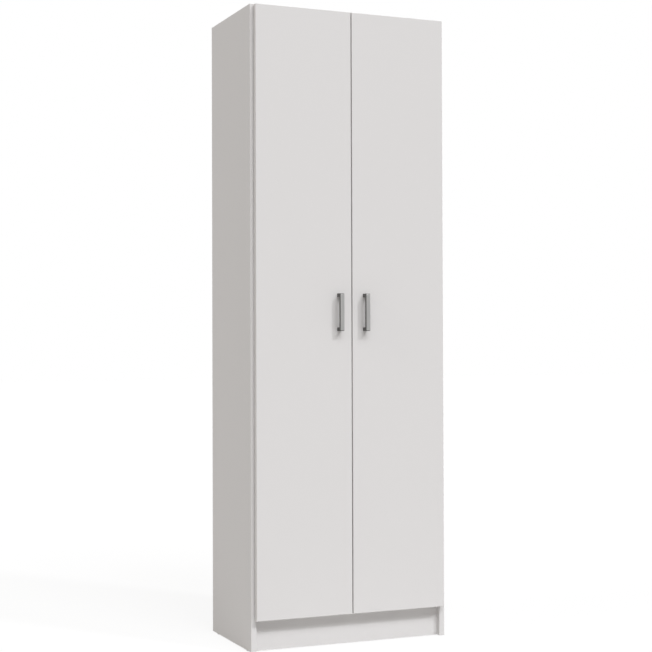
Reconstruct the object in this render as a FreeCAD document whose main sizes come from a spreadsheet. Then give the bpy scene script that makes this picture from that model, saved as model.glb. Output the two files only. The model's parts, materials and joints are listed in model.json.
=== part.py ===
import FreeCAD, Part
import math
import os
import re
import Sketcher

Vector = FreeCAD.Vector
Rotation = FreeCAD.Rotation

# Driving sizes in millimetres, and counts
SIZES = {
    "overall_height": 1800,
    "overall_width": 600,
    "overall_depth": 350,
    "board": 16,
    "edge_break": 0.5,
    # doors
    "door_board": 16,
    "door_gap": 2.5,
    "door_bottom_height": 90,
    "door_top_reveal": 2.5,
    "door_side_reveal": 10,
    "door_centre_gap": 3,
    "door_edge_radius": 1,
    "buffer_radius": 4,
    "buffer_crown": 0.8,
    "buffer_clearance": 0.3,
    "buffer_inset": 16,
    # base
    "glide_height": 3,
    "glide_radius": 7,
    "glide_round": 0.8,
    "glide_inset": 40,
    "glide_nail_radius": 1.1,
    "glide_nail_length": 14,
    "glide_nail_point": 3,
    "plinth_top": 88,
    "plinth_recess": 15,
    # back
    "back_board": 3,
    "groove_width": 3.2,
    "groove_depth": 6,
    "groove_setback": 8,
    "back_clearance": 0.1,
    "back_edge_clearance": 0.5,
    "back_joint_height": 900,
    "strip_wall": 1,
    "strip_height": 16,
    "strip_end_clearance": 0.3,
    "nail_radius": 0.7,
    "nail_length": 18,
    "nail_point": 2,
    "nail_head_radius": 1.7,
    "nail_head": 0.6,
    "nail_inset": 60,
    "nail_clearance": 0.05,
    "nail_hole_spare": 0.5,
    # shelves
    "hat_shelf_height": 1484,
    "shelf_setback": 12,
    "shelf_end_clearance": 1,
    "shelf_low_rows": 1,
    "shelf_high_rows": 7,
    "pin_first_height": 262,
    "pin_pitch": 32,
    "pin_rows": 9,
    "pin_front": 60,
    "pin_rear": 256,
    "pin_radius": 2.45,
    "pin_hole_clearance": 0.05,
    "pin_depth": 9.5,
    "pin_hole_spare": 0.5,
    "pin_collar_radius": 4,
    "pin_collar": 0.7,
    "pin_reach": 9,
    "pin_tongue_width": 9,
    "pin_tongue": 2.2,
    "pin_tongue_round": 1.5,
    # cam fittings and dowels
    "cam_radius": 7.4,
    "cam_length": 12,
    "cam_bore_clearance": 0.1,
    "cam_bore_spare": 0.5,
    "cam_setback": 24,
    "cam_slot_width": 1.6,
    "cam_slot_length": 9,
    "cam_slot_depth": 2.5,
    "cam_front": 44,
    "cam_rear": 268,
    "bolt_thread_radius": 2.45,
    "bolt_thread_length": 10.5,
    "bolt_point": 1,
    "bolt_shaft_radius": 1.9,
    "bolt_head_radius": 3.3,
    "bolt_head": 4,
    "bolt_way_clearance": 1,
    "bolt_hole_clearance": 0.05,
    "bolt_hole_spare": 0.5,
    "dowel_radius": 3.95,
    "dowel_length": 30,
    "dowel_in_side": 10,
    "dowel_chamfer": 1,
    "dowel_clearance": 0.05,
    "dowel_hole_spare": 0.5,
    "dowel_pitch": 32,
    # hinge cups and pins
    "hinge_margin": 100,
    "cup_radius": 17.4,
    "cup_depth": 12,
    "cup_wall": 0.7,
    "cup_floor": 0.9,
    "cup_bevel": 0.8,
    "cup_edge": 3,
    "cup_bore_clearance": 0.1,
    "cup_flange": 1,
    "cup_flange_start": 4.5,
    "cup_flange_side": 14,
    "cup_flange_end": 10,
    "cup_rim": 1,
    "cup_ear_radius": 5,
    "cup_screw_spread": 48,
    "cup_screw_offset": 6,
    "cup_screw_length": 11,
    "pivot_edge": 6.8,
    "pivot_depth": 8.2,
    "pivot_pin_radius": 1.2,
    "pivot_pin_length": 17,
    "pivot_clearance": 0.05,
    "pivot_press_clearance": 0.01,
    "pivot_cheek": 3.4,
    "pivot_cheek_wall": 1.4,
    # hinge arms
    "eye_radius": 2.1,
    "hook_plate": 2.5,
    "hook_width": 9,
    "hook_bend": 0.6,
    "arm_door_clearance": 3,
    "arm_width": 15,
    "arm_cheek": 1.5,
    "arm_round": 1.2,
    "arm_taper": 4,
    "arm_start": 8,
    "arm_end": 66,
    "arm_slot_length": 10,
    "arm_screw_line": 52,
    "arm_screw_radius": 2.4,
    "arm_screw_crown_radius": 3.2,
    "arm_screw_head_radius": 4.2,
    "arm_screw_head": 2.2,
    "arm_screw_point": 1,
    "adjust_line": 31,
    "adjust_radius": 2.6,
    "adjust_proud": 0.8,
    "adjust_tip_gap": 0.1,
    "adjust_chamfer": 0.4,
    # hinge plates
    "plate_base": 2,
    "plate_spine": 4,
    "plate_spine_width": 13,
    "plate_spine_start": 22,
    "plate_spine_round": 2,
    "plate_wing_height": 48,
    "plate_wing_width": 12,
    "plate_line": 37,
    "plate_screw_spread": 32,
    "plate_screw_length": 11,
    # wood screws
    "screw_radius": 1.75,
    "screw_head_radius": 3.4,
    "screw_crown_radius": 2.3,
    "screw_head": 1.6,
    "screw_point": 4,
    "screw_clearance": 0.05,
    "screw_hole_spare": 0.5,
    # handles
    "handle_centres": 96,
    "handle_projection": 24,
    "handle_width": 12,
    "handle_bar": 8,
    "handle_leg": 10,
    "handle_edge_distance": 38.5,
    "handle_corner_radius": 3,
    "handle_inner_radius": 2.5,
    "handle_edge_radius": 1,
    "handle_screw_radius": 1.95,
    "handle_screw_clearance": 0.05,
    "handle_screw_bite": 9,
    "handle_screw_spare": 1,
    "handle_screw_point": 0.6,
    "handle_screw_head_radius": 4,
    "handle_screw_crown_radius": 3,
    "handle_screw_head": 2.4,
    "handle_hole_radius": 2.5,
    # hanging rail
    "rail_length": 270,
    "rail_start": 24,
    "rail_tall": 30,
    "rail_thick": 15,
    "rail_wall": 1.2,
    "rail_drop": 58,
    "rail_clearance": 0.1,
    "rail_cap": 2,
    "rail_cap_round": 1,
    "rail_cap_plug": 8,
    "bracket_inset": 40,
    "bracket_depth": 18,
    "bracket_wall": 3,
    "bracket_width": 52,
    "bracket_web_radius": 4,
    "bracket_corner": 4,
    "bracket_screw_spread": 38,
    "bracket_screw_length": 12,
    # wall fixing
    "wall_angle_offset": 190,
    "wall_angle_width": 30,
    "wall_angle_reach": 26,
    "wall_angle_drop": 34,
    "wall_angle_plate": 2,
    "wall_angle_bend": 1,
    "wall_angle_corner": 4,
    "wall_hole_radius": 3,
    "wall_hole_drop": 22,
    "wall_screw_spread": 16,
}

# Named lengths that follow from the driving sizes
DERIVED = {
    "left": "-overall_width / 2",
    "front": "handle_projection + door_board + door_gap - (overall_depth + handle_projection) / 2",
    "carcass_depth": "overall_depth - door_board - door_gap",
    "inner_width": "overall_width - 2 * board",
    "inner_left": "board - overall_width / 2",
    "panel_depth": "carcass_depth - groove_setback - groove_width",
    "back_front": "front + panel_depth + back_clearance",
    "back_rear": "back_front + back_board",
    "back_width": "inner_width + 2 * groove_depth - 2 * back_edge_clearance",
    "side_height": "overall_height - glide_height",
    "top_height": "overall_height - board",
    "door_width": "(overall_width - door_centre_gap) / 2 - door_side_reveal",
    "door_height": "overall_height - door_top_reveal - door_bottom_height",
    "door_left": "left + door_side_reveal",
    "door_back": "front - door_gap",
    "door_front": "door_back - door_board",
    "handle_height": "door_bottom_height + door_height / 2",
    "handle_x": "door_left + door_width - handle_edge_distance",
    "handle_half": "(handle_centres + handle_leg) / 2",
    "handle_inside": "(handle_centres - handle_leg) / 2",
    "handle_space": "handle_projection - handle_bar",
    "buffer_height": "door_gap - buffer_clearance",
    "plinth_height": "plinth_top - glide_height",
    "cam_bore_radius": "cam_radius + cam_bore_clearance",
    "edge_bore_radius": "dowel_radius + dowel_clearance",
    "nail_hole_radius": "nail_radius + nail_clearance",
    "bolt_hole_radius": "bolt_thread_radius + bolt_hole_clearance",
    "pin_hole_radius": "pin_radius + pin_hole_clearance",
    "screw_hole_radius": "screw_radius + screw_clearance",
    "dowel_front": "cam_front + dowel_pitch",
    "dowel_rear": "cam_rear - dowel_pitch",
    "dowel_in_panel": "dowel_length - dowel_in_side",
    "bolt_head_start": "cam_setback - bolt_head / 2",
    "bolt_head_end": "cam_setback + bolt_head / 2",
    "plinth_middle": "plinth_recess + board / 2",
    "plinth_bolt_height": "plinth_height / 2 + dowel_pitch / 2",
    "plinth_dowel_height": "plinth_height / 2 - dowel_pitch / 2",
    "pin_low": "pin_first_height + shelf_low_rows * pin_pitch",
    "pin_high": "pin_first_height + shelf_high_rows * pin_pitch",
    "shelf_low_height": "pin_low + pin_radius",
    "shelf_high_height": "pin_high + pin_radius",
    "hinge_low": "door_bottom_height + hinge_margin",
    "hinge_middle": "door_bottom_height + door_height / 2",
    "hinge_high": "door_bottom_height + door_height - hinge_margin",
    "cup_bore_radius": "cup_radius + cup_bore_clearance",
    "cup_inset": "cup_edge + cup_bore_radius",
    "cup_x": "door_left + cup_inset",
    "cup_screw_x": "cup_x + cup_screw_offset",
    "cup_hollow_radius": "cup_radius - cup_wall",
    "cup_pin_x": "pivot_edge - cup_inset",
    "cheek_side": "cup_pin_x + eye_radius",
    "cheek_inner": "pivot_pin_length / 2 - pivot_cheek",
    "cheek_outer": "pivot_pin_length / 2",
    "cheek_top_depth": "pivot_depth - pivot_pin_radius - pivot_cheek_wall",
    "wall_at_inner": "-sqrt(cup_hollow_radius ^ 2 - (cheek_inner) ^ 2)",
    "wall_at_outer": "-sqrt(cup_hollow_radius ^ 2 - (cheek_outer) ^ 2)",
    "pivot_x": "door_left + pivot_edge",
    "pivot_y": "door_back - pivot_depth",
    "hook_x": "door_side_reveal + pivot_edge - board",
    "hook_y": "-door_gap - pivot_depth",
    "arm_under": "hook_x + pivot_depth + arm_door_clearance",
    "arm_rise": "arm_under + hook_plate",
    "arm_slot_radius": "arm_screw_radius + screw_clearance",
    "adjust_end": "arm_rise - plate_spine - adjust_tip_gap",
    "rail_height": "hat_shelf_height - rail_drop",
    "rail_front": "front + rail_start",
    "ring_thick": "rail_thick + 2 * rail_clearance",
    "ring_tall": "rail_tall + 2 * rail_clearance",
    "ring_half": "ring_thick / 2 + bracket_wall",
    "ring_flat": "(ring_tall - ring_thick) / 2",
    "plug_thick": "rail_thick - 2 * rail_wall - 2 * rail_clearance",
    "plug_tall": "rail_tall - 2 * rail_wall - 2 * rail_clearance",
    "bracket_front": "rail_front + bracket_inset",
    "bracket_rear": "rail_front + rail_length - bracket_inset - bracket_depth",
    "bracket_under": "rail_drop - bracket_wall",
}

HINGE_LEVELS = ("hinge_low", "hinge_middle", "hinge_high")
FIXED_LEVELS = ("plinth_top", "hat_shelf_height", "top_height")
SHELF_LEVELS = {"shoe_shelf_lower": "shelf_low_height", "shoe_shelf_upper": "shelf_high_height"}
NAIL_COLUMNS = ("nail_inset - inner_width / 2", "-nail_inset", "nail_inset", "inner_width / 2 - nail_inset")
BOTH_SIGNS = ("-", "+")
ORIGIN = ("0", "0", "0")
ACROSS = Vector(1, 0, 0)
BACKWARD = Vector(0, 1, 0)
UPWARD = Vector(0, 0, 1)
STRAIGHT = Rotation()
HALF_TURN = Rotation(UPWARD, 180)
FLIPPED = Rotation(ACROSS, 180)
TO_REAR = Rotation(ACROSS, 90)
# Turns a piece that points along +X
POINTING = {
    "left": HALF_TURN,
    "front": Rotation(UPWARD, -90),
    "rear": Rotation(UPWARD, 90),
    "up": Rotation(BACKWARD, -90),
}
FULL_TURN = 360
QUARTERS = 4
NEAR = 1e-4

doc = FreeCAD.newDocument("wardrobe")
sizes = doc.addObject("Spreadsheet::Sheet", "sizes")
for row, (alias, number) in enumerate(SIZES.items(), start=1):
    sizes.set("A%d" % row, str(number))
    sizes.setAlias("A%d" % row, alias)
doc.recompute()

nodes = []


# Sizes and places
def expand(text):
    """Turns size names into references to the spreadsheet's cells."""
    def swap(match):
        word = match.group(0)
        if word == "sqrt":
            return word
        if word in DERIVED:
            return "(" + expand(DERIVED[word]) + ")"
        return "sizes." + word
    return re.sub(r"[a-z_]+", swap, text)


def value(text):
    return float(sizes.evalExpression(expand(text)))


def bind(item, prop, text):
    item.setExpression(prop, expand(text))


def place(item, spot, turn=STRAIGHT):
    item.Placement = FreeCAD.Placement(Vector(), turn)
    for axis, text in zip("xyz", spot):
        bind(item, ".Placement.Base." + axis, text)


def keep(item, label):
    """Marks an object as one node of the finished part."""
    item.Label = label
    nodes.append(item)
    return item


def copies(label, master, spots):
    """One node holding a separate copy of the master at each spot."""
    links = []
    for spot in spots:
        link = doc.addObject("App::Link", label + "_copy")
        link.LinkedObject = master
        link.LinkTransform = True
        place(link, spot[:3], spot[3] if len(spot) > 3 else STRAIGHT)
        links.append(link)
    group = doc.addObject("Part::Compound", label)
    group.Links = links
    return keep(group, label)


def mirror(label, source):
    item = doc.addObject("Part::Mirroring", label)
    item.Source = source
    item.Base = Vector()
    item.Normal = ACROSS
    return keep(item, label)


# Sketches
def new_body(name, spot=ORIGIN):
    body = doc.addObject("PartDesign::Body", name)
    place(body, spot)
    return body


def node_body(label, spot):
    """A body that is a node by itself."""
    return keep(new_body(label, spot), label)


def sketch_on(body, role, offset="0"):
    """A sketch on one of the body's own origin planes, moved along the plane's normal."""
    sketch = body.newObject("Sketcher::SketchObject", body.Name + "_sketch")
    plane = [item for item in body.Origin.OriginFeatures if item.Role == role][0]
    sketch.AttachmentSupport = (plane, [""])
    sketch.MapMode = "FlatFace"
    bind(sketch, ".AttachmentOffset.Base.z", offset)
    return sketch


def fix(sketch, kind, args, text):
    number = sketch.addConstraint(Sketcher.Constraint(kind, *args, value(text)))
    bind(sketch, "Constraints[%d]" % number, text)


def fix_point(sketch, item, point, across, up):
    fix(sketch, "DistanceX", (-1, 1, item, point), across)
    fix(sketch, "DistanceY", (-1, 1, item, point), up)


def spot_of(pair):
    return Vector(value(pair[0]), value(pair[1]), 0)


def arc_side(sketch, start, end, centre):
    """An arc that turns left from start to end; one size of its centre fixes it between its ends."""
    middle = spot_of(centre)
    angles = [math.atan2(spot.y - middle.y, spot.x - middle.x) for spot in (start, end)]
    if angles[1] < angles[0]:
        angles[1] += 2 * math.pi
    circle = Part.Circle(middle, UPWARD, (start - middle).Length)
    item = sketch.addGeometry(Part.ArcOfCircle(circle, *angles))
    chord = end - start
    if abs(chord.x) > abs(chord.y):
        fix(sketch, "DistanceY", (-1, 1, item, 3), centre[1])
    else:
        fix(sketch, "DistanceX", (-1, 1, item, 3), centre[0])
    return item


def outline(sketch, corners, arcs=None):
    """A closed outline run to the left; arcs gives the centre of each side that is round."""
    spots = [spot_of(corner) for corner in corners]
    sides = []
    for i, start in enumerate(spots):
        end = spots[(i + 1) % len(spots)]
        if arcs and i in arcs:
            sides.append(arc_side(sketch, start, end, arcs[i]))
        else:
            sides.append(sketch.addGeometry(Part.LineSegment(start, end)))
    for side, following in zip(sides, sides[1:] + sides[:1]):
        sketch.addConstraint(Sketcher.Constraint("Coincident", side, 2, following, 1))
    for side, (across, up) in zip(sides, corners):
        fix_point(sketch, side, 1, across, up)


def rectangle(sketch, low, high):
    outline(sketch, [low, (high[0], low[1]), high, (low[0], high[1])])


def oval(sketch, thick, tall, middle=("0", "0"), upright=True):
    """A straight-sided oval about its middle, standing or lying."""
    half = "(%s) / 2" % thick
    flat = "((%s) - (%s)) / 2" % (tall, thick)
    points = [("-" + half, "-" + flat), (half, "-" + flat), (half, flat), ("-" + half, flat)]
    points += [("0", "-" + flat), ("0", flat)]
    if not upright:
        points = [("-(%s)" % up, across) for across, up in points]
    points = [("%s + (%s)" % (middle[0], across), "%s + (%s)" % (middle[1], up)) for across, up in points]
    outline(sketch, points[:4], {0: points[4], 2: points[5]})


def circles(sketch, radius, centres):
    for centre in centres:
        item = sketch.addGeometry(Part.Circle(spot_of(centre), UPWARD, value(radius)))
        fix(sketch, "Radius", (item,), radius)
        fix_point(sketch, item, 3, *centre)


# Features
def pad(body, sketch, length, reverse=False, midplane=False):
    item = body.newObject("PartDesign::Pad", body.Name + "_pad")
    item.Profile = sketch
    bind(item, "Length", length)
    item.Reversed = reverse
    item.Midplane = midplane
    doc.recompute()
    return item


def pocket(body, sketch, depth, reverse=False, midplane=False):
    before = body.Shape.Volume
    item = body.newObject("PartDesign::Pocket", body.Name + "_pocket")
    item.Profile = sketch
    bind(item, "Length", depth)
    item.Reversed = reverse
    item.Midplane = midplane
    doc.recompute()
    if not body.Shape.Volume < before - NEAR:
        raise RuntimeError("a pocket of %s cuts nothing" % body.Label)
    return item


def turn(body, sketch, axis):
    item = body.newObject("PartDesign::Revolution", body.Name + "_turn")
    item.Profile = sketch
    item.ReferenceAxis = (sketch, [axis])
    item.Angle = FULL_TURN
    doc.recompute()
    return item


def turned(name, profile):
    """A body turned about X from corners given as distance along X and radius."""
    body = new_body(name)
    sketch = sketch_on(body, "XY_Plane")
    outline(sketch, profile)
    turn(body, sketch, "H_Axis")
    return body


def face_towards(feature, normal):
    """Names the flat face that lies furthest out along a direction."""
    best = None
    for number, face in enumerate(feature.Shape.Faces, start=1):
        if face.normalAt(0, 0).dot(normal) > 1 - NEAR:
            reach = face.CenterOfMass.dot(normal)
            if best is None or reach > best[0]:
                best = (reach, "Face%d" % number)
    return best[1]


def edges_along(feature, axis, test):
    """Names the straight edges that run along an axis and whose middle passes a test."""
    names = []
    for number, edge in enumerate(feature.Shape.Edges, start=1):
        run = edge.Vertexes[-1].Point - edge.Vertexes[0].Point
        if run.Length > NEAR and abs(run.dot(axis)) > (1 - NEAR) * run.Length and test(edge.CenterOfMass):
            names.append("Edge%d" % number)
    return names


def at(text):
    """A test for numbers that equal a size."""
    size = value(text)
    return lambda number: abs(number - size) < NEAR


def soften(kind, body, feature, names, length):
    item = body.newObject("PartDesign::" + kind, body.Name + "_" + kind.lower())
    item.Base = (feature, names)
    bind(item, "Radius" if kind == "Fillet" else "Size", length)
    doc.recompute()
    return item


# Side panels
side = node_body("side_panel_left", ("left", "front", "glide_height"))
sketch = sketch_on(side, "YZ_Plane")
rectangle(sketch, ("0", "0"), ("carcass_depth", "side_height"))
side_pad = pad(side, sketch, "board")
soften("Chamfer", side, side_pad, [face_towards(side_pad, -BACKWARD)], "edge_break")

sketch = sketch_on(side, "YZ_Plane", "board")
rectangle(sketch, ("panel_depth", "0"), ("panel_depth + groove_width", "side_height"))
pocket(side, sketch, "groove_depth")

joint_levels = [level + " + board / 2 - glide_height" for level in FIXED_LEVELS]
bolt_bores = [(line, level) for level in joint_levels for line in ("cam_front", "cam_rear")]
dowel_bores = [(line, level) for level in joint_levels for line in ("dowel_front", "dowel_rear")]
sketch = sketch_on(side, "YZ_Plane", "board")
circles(sketch, "bolt_hole_radius", bolt_bores + [("plinth_middle", "plinth_bolt_height")])
pocket(side, sketch, "bolt_thread_length + bolt_hole_spare")
sketch = sketch_on(side, "YZ_Plane", "board")
circles(sketch, "edge_bore_radius", dowel_bores + [("plinth_middle", "plinth_dowel_height")])
pocket(side, sketch, "dowel_in_side + dowel_hole_spare")

sketch = sketch_on(side, "YZ_Plane", "board")
circles(sketch, "screw_hole_radius", [
    ("plate_line", "%s - glide_height %s plate_screw_spread / 2" % (level, sign))
    for level in HINGE_LEVELS for sign in BOTH_SIGNS
])
pocket(side, sketch, "plate_screw_length - plate_base + screw_hole_spare")

glide_lines = ("glide_inset", "carcass_depth - glide_inset")
sketch = sketch_on(side, "XY_Plane")
circles(sketch, "glide_nail_radius", [("board / 2", line) for line in glide_lines])
pocket(side, sketch, "glide_nail_length", reverse=True)

pin_lines = ("pin_front", "pin_rear")
sketch = sketch_on(side, "YZ_Plane", "board")
circles(sketch, "pin_hole_radius", [(line, "pin_first_height - glide_height") for line in pin_lines])
pin_holes = pocket(side, sketch, "pin_depth + pin_hole_spare")
rows = side.newObject("PartDesign::LinearPattern", "side_panel_rows")
rows.Originals = [pin_holes]
rows.Direction = (sketch, ["V_Axis"])
bind(rows, "Length", "pin_pitch * (pin_rows - 1)")
bind(rows, "Occurrences", "pin_rows")
side.Tip = rows
doc.recompute()
mirror("side_panel_right", side)


# Top, bottom and hat shelf
def cross_panel(label, level, cams_up):
    """A board between the sides with cam bores in one face and bolt and dowel bores in its ends."""
    body = node_body(label, ("inner_left", "front", level))
    plan = sketch_on(body, "XY_Plane")
    rectangle(plan, ("0", "0"), ("inner_width", "panel_depth"))
    pad(body, plan, "board")
    bores = sketch_on(body, "XY_Plane", "board" if cams_up else "0")
    ends = ("cam_setback", "inner_width - cam_setback")
    circles(bores, "cam_bore_radius", [(end, line) for end in ends for line in ("cam_front", "cam_rear")])
    pocket(body, bores, "cam_length + cam_bore_spare", reverse=not cams_up)
    lines = ("cam_front", "dowel_front", "dowel_rear", "cam_rear")
    for offset, reverse in (("0", True), ("inner_width", False)):
        end_bores = sketch_on(body, "YZ_Plane", offset)
        circles(end_bores, "edge_bore_radius", [(line, "board / 2") for line in lines])
        pocket(body, end_bores, "cam_setback", reverse=reverse)
    nail_bores = sketch_on(body, "XZ_Plane", "-panel_depth")
    nail_spots = [("inner_width / 2 + " + column, "board / 2") for column in NAIL_COLUMNS]
    circles(nail_bores, "nail_hole_radius", nail_spots)
    pocket(body, nail_bores, "nail_length - back_board - back_clearance + nail_hole_spare", reverse=True)
    return body


top_panel = cross_panel("top_panel", "top_height", True)
hat_shelf = cross_panel("hat_shelf", "hat_shelf_height", False)
cross_panel("bottom_panel", "plinth_top", False)

# Plinth board
plinth = node_body("plinth_board", ("inner_left", "front + plinth_recess", "glide_height"))
sketch = sketch_on(plinth, "XZ_Plane")
rectangle(sketch, ("0", "0"), ("inner_width", "plinth_height"))
pad(plinth, sketch, "board", reverse=True)
cam_ends = ("cam_setback", "inner_width - cam_setback")
sketch = sketch_on(plinth, "XZ_Plane", "-board")
circles(sketch, "cam_bore_radius", [(end, "plinth_bolt_height") for end in cam_ends])
pocket(plinth, sketch, "cam_length + cam_bore_spare", reverse=True)
for offset, reverse in (("0", True), ("inner_width", False)):
    sketch = sketch_on(plinth, "YZ_Plane", offset)
    levels = ("plinth_bolt_height", "plinth_dowel_height")
    circles(sketch, "edge_bore_radius", [("board / 2", level) for level in levels])
    pocket(plinth, sketch, "cam_setback", reverse=reverse)

# Loose shelves on pins
for label, level in SHELF_LEVELS.items():
    shelf = node_body(label, ("inner_left + shelf_end_clearance", "front + shelf_setback", level))
    sketch = sketch_on(shelf, "XY_Plane")
    rectangle(sketch, ("0", "0"), ("inner_width - 2 * shelf_end_clearance", "panel_depth - shelf_setback"))
    shelf_pad = pad(shelf, sketch, "board")
    soften("Chamfer", shelf, shelf_pad, [face_towards(shelf_pad, -BACKWARD)], "edge_break")

pin = new_body("shelf_pin")
sketch = sketch_on(pin, "YZ_Plane", "-pin_depth")
circles(sketch, "pin_radius", [("0", "0")])
pad(pin, sketch, "pin_depth + pin_reach")
sketch = sketch_on(pin, "YZ_Plane")
circles(sketch, "pin_collar_radius", [("0", "0")])
pad(pin, sketch, "pin_collar")
sketch = sketch_on(pin, "XY_Plane", "pin_radius - pin_tongue")
rectangle(sketch, ("0", "-pin_tongue_width / 2"), ("pin_reach", "pin_tongue_width / 2"))
tongue = pad(pin, sketch, "pin_tongue")
tip = at("pin_reach")
tongue_side = at("pin_tongue_width / 2")
corners = edges_along(tongue, UPWARD, lambda spot: tip(spot.x) and tongue_side(abs(spot.y)))
soften("Fillet", pin, tongue, corners, "pin_tongue_round")
pin_spots = []
for level in ("pin_low", "pin_high"):
    for line in pin_lines:
        pin_spots.append(("inner_left", "front + " + line, level))
        pin_spots.append(("-inner_left", "front + " + line, level, HALF_TURN))
copies("shelf_pins", pin, pin_spots)

# Cam discs, cam bolts and dowels; each master lies on the left joint plane
cam = new_body("cam_disc")
sketch = sketch_on(cam, "XY_Plane", "-board / 2")
circles(sketch, "cam_radius", [("0", "0")])
pad(cam, sketch, "cam_length")
slot_end = "cam_slot_length / 2"
slot_half = "cam_slot_width / 2"
quarter = [(slot_end, "-" + slot_half), (slot_end, slot_half), (slot_half, slot_half)]
cross = []
for _ in range(QUARTERS):
    cross += quarter
    quarter = [("-(%s)" % up, across) for across, up in quarter]
sketch = sketch_on(cam, "XY_Plane", "-board / 2")
outline(sketch, cross)
pocket(cam, sketch, "cam_slot_depth", reverse=True)
sketch = sketch_on(cam, "YZ_Plane", "bolt_head")
circles(sketch, "bolt_head_radius + bolt_way_clearance", [("0", "0")])
pocket(cam, sketch, "cam_radius + bolt_head")

bolt = turned("cam_bolt", [
    ("-bolt_thread_length", "0"),
    ("bolt_head_end", "0"),
    ("bolt_head_end", "bolt_head_radius"),
    ("bolt_head_start", "bolt_head_radius"),
    ("bolt_head_start", "bolt_shaft_radius"),
    ("0", "bolt_shaft_radius"),
    ("0", "bolt_thread_radius"),
    ("bolt_point - bolt_thread_length", "bolt_thread_radius"),
    ("-bolt_thread_length", "bolt_thread_radius - bolt_point"),
])
dowel = turned("dowel", [
    ("-dowel_in_side", "0"),
    ("dowel_in_panel", "0"),
    ("dowel_in_panel", "dowel_radius - dowel_chamfer"),
    ("dowel_in_panel - dowel_chamfer", "dowel_radius"),
    ("dowel_chamfer - dowel_in_side", "dowel_radius"),
    ("-dowel_in_side", "dowel_radius - dowel_chamfer"),
])

cam_spots = []
bolt_spots = []
dowel_spots = []
for level in FIXED_LEVELS:
    middle = level + " + board / 2"
    tilt = FLIPPED if level == "top_height" else STRAIGHT
    for line in ("cam_front", "cam_rear"):
        depth = "front + " + line
        cam_spots.append(("inner_left + cam_setback", depth, middle, tilt))
        cam_spots.append(("-inner_left - cam_setback", depth, middle, HALF_TURN * tilt))
        bolt_spots.append(("inner_left", depth, middle))
        bolt_spots.append(("-inner_left", depth, middle, HALF_TURN))
    for line in ("dowel_front", "dowel_rear"):
        dowel_spots.append(("inner_left", "front + " + line, middle))
        dowel_spots.append(("-inner_left", "front + " + line, middle, HALF_TURN))
plinth_depth = "front + plinth_middle"
plinth_bolt = "glide_height + plinth_bolt_height"
plinth_dowel = "glide_height + plinth_dowel_height"
cam_spots.append(("inner_left + cam_setback", plinth_depth, plinth_bolt, TO_REAR))
cam_spots.append(("-inner_left - cam_setback", plinth_depth, plinth_bolt, TO_REAR * HALF_TURN))
for spots, level in ((bolt_spots, plinth_bolt), (dowel_spots, plinth_dowel)):
    spots.append(("inner_left", plinth_depth, level))
    spots.append(("-inner_left", plinth_depth, level, HALF_TURN))
copies("cam_discs", cam, cam_spots)
copies("cam_bolts", bolt, bolt_spots)
copies("wood_dowels", dowel, dowel_spots)

# Back in two sheets with a joining strip, nailed to the cross panels
for label, low, high, levels in (
    ("back_panel_lower", "plinth_top", "back_joint_height - strip_wall / 2 - back_clearance",
     ("plinth_top",)),
    ("back_panel_upper", "back_joint_height + strip_wall / 2 + back_clearance",
     "overall_height - back_edge_clearance", ("hat_shelf_height", "top_height")),
):
    sheet = node_body(label, ("-back_width / 2", "back_front", low))
    sketch = sketch_on(sheet, "XZ_Plane")
    rectangle(sketch, ("0", "0"), ("back_width", "%s - (%s)" % (high, low)))
    pad(sheet, sketch, "back_board", reverse=True)
    sketch = sketch_on(sheet, "XZ_Plane")
    circles(sketch, "nail_hole_radius", [
        ("back_width / 2 + " + column, "%s + board / 2 - (%s)" % (level, low))
        for level in levels for column in NAIL_COLUMNS
    ])
    pocket(sheet, sketch, "back_board")
    if "top_height" in levels:
        sketch = sketch_on(sheet, "XZ_Plane")
        circles(sketch, "wall_hole_radius", [
            ("back_width / 2 %s wall_angle_offset" % sign, "top_height - wall_hole_drop - (%s)" % low)
            for sign in BOTH_SIGNS
        ])
        pocket(sheet, sketch, "back_board")

strip_spot = ("inner_left + strip_end_clearance", "back_front", "back_joint_height")
strip = node_body("back_joining_strip", strip_spot)
flange_front = "-back_clearance"
flange_rear = "back_board + back_clearance"
half_web = "strip_wall / 2"
half_strip = "strip_height / 2"
sketch = sketch_on(strip, "YZ_Plane")
outline(sketch, [
    (flange_front + " - strip_wall", "-" + half_strip),
    (flange_front, "-" + half_strip),
    (flange_front, "-" + half_web),
    (flange_rear, "-" + half_web),
    (flange_rear, "-" + half_strip),
    (flange_rear + " + strip_wall", "-" + half_strip),
    (flange_rear + " + strip_wall", half_strip),
    (flange_rear, half_strip),
    (flange_rear, half_web),
    (flange_front, half_web),
    (flange_front, half_strip),
    (flange_front + " - strip_wall", half_strip),
])
pad(strip, sketch, "inner_width - 2 * strip_end_clearance")

nail = turned("nail", [
    ("-nail_head", "0"),
    ("nail_length", "0"),
    ("nail_length - nail_point", "nail_radius"),
    ("0", "nail_radius"),
    ("0", "nail_head_radius"),
    ("-nail_head", "nail_head_radius"),
])
copies("back_panel_nails", nail, [
    (column, "back_rear", level + " + board / 2", POINTING["front"])
    for level in FIXED_LEVELS for column in NAIL_COLUMNS
])

# Floor glides under the side panels
glide = turned("glide", [
    ("0", "0"),
    ("glide_height + glide_nail_length", "0"),
    ("glide_height + glide_nail_length - glide_nail_point", "glide_nail_radius"),
    ("glide_height", "glide_nail_radius"),
    ("glide_height", "glide_radius"),
    ("glide_round", "glide_radius"),
    ("0", "glide_radius - glide_round"),
])
copies("floor_glides", glide, [
    (column, "front + " + line, "0", POINTING["up"])
    for column in ("left + board / 2", "-left - board / 2") for line in glide_lines
])

# Hanging rail, front to back under the hat shelf
rail = node_body("hanging_rail", ("0", "rail_front", "rail_height"))
sketch = sketch_on(rail, "XZ_Plane")
oval(sketch, "rail_thick", "rail_tall")
oval(sketch, "rail_thick - 2 * rail_wall", "rail_tall - 2 * rail_wall")
pad(rail, sketch, "rail_length", reverse=True)

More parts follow.
